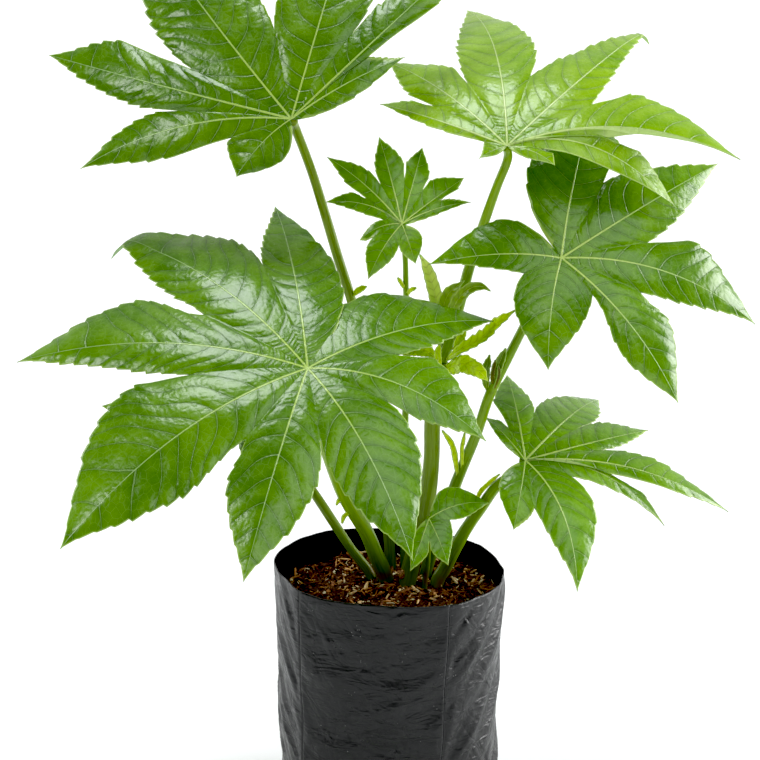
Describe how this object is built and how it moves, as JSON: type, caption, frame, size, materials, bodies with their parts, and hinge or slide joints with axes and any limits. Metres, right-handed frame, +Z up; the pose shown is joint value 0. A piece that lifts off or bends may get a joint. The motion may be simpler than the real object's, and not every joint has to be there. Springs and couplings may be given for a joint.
{
  "type": "potted japanese aralia",
  "caption": "Young Japanese aralia with large hand-shaped, toothed leaves on long round stalks, growing in potting mix in a soft black film nursery bag.",
  "frame": {"origin": "centre of the bag's flat base, on the surface it stands on", "axes": "+Z up, -Y towards the front that the picture shows, +X to that view's right"},
  "size_m": [0.4984, 0.3597, 0.6443],
  "materials": {
    "bag_film": "satin black polythene film",
    "potting_mix": "damp bark and peat",
    "cane_skin": "smooth green stem, satin",
    "stalk_skin": "smooth green stalk, satin",
    "leaf_green": "glossy leaf",
    "leaf_dark": "glossy leaf, darker",
    "leaf_bright": "glossy young leaf, yellow-green",
    "young_green": "soft unfolding leaf, lime green"
  },
  "bodies": {
    "root": {"grow_bag": "bag_film", "potting_mix": "potting_mix", "main_cane": "cane_skin", "stalk_upper_left": "stalk_skin", "stalk_upper_right": "stalk_skin", "stalk_right": "stalk_skin", "stalk_lower_left": "stalk_skin", "stalk_lower_right": "stalk_skin", "stalk_rear_left": "stalk_skin", "stalk_top_small": "stalk_skin", "stalk_base_small": "stalk_skin", "leaf_upper_left": "leaf_green", "leaf_upper_right": "leaf_bright", "leaf_right": "leaf_dark", "leaf_lower_left": "leaf_green", "leaf_lower_right": "leaf_green", "leaf_rear_left": "leaf_dark", "leaf_top_small": "leaf_green", "leaf_base_small": "leaf_green", "young_leaf_pale": "young_green", "young_leaf_wrap_left": "leaf_dark", "young_leaf_wrap_right": "leaf_dark", "young_leaf_bright_long": "young_green", "young_leaf_bright_low": "young_green", "young_leaf_upright": "young_green", "young_leaf_rear": "young_green", "bract_pale": "young_green", "shoot_leaf_short": "leaf_dark", "shoot_leaf_tall": "leaf_dark", "shoot_low_left": "young_green", "shoot_low_right": "young_green", "sheath_lower_right": "stalk_skin", "stipule_upper": "stalk_skin", "stipule_lower": "stalk_skin", "bract_upper_left": "young_green", "bract_top_left": "young_green", "bract_top_right": "young_green"}
  },
  "joints": []
}
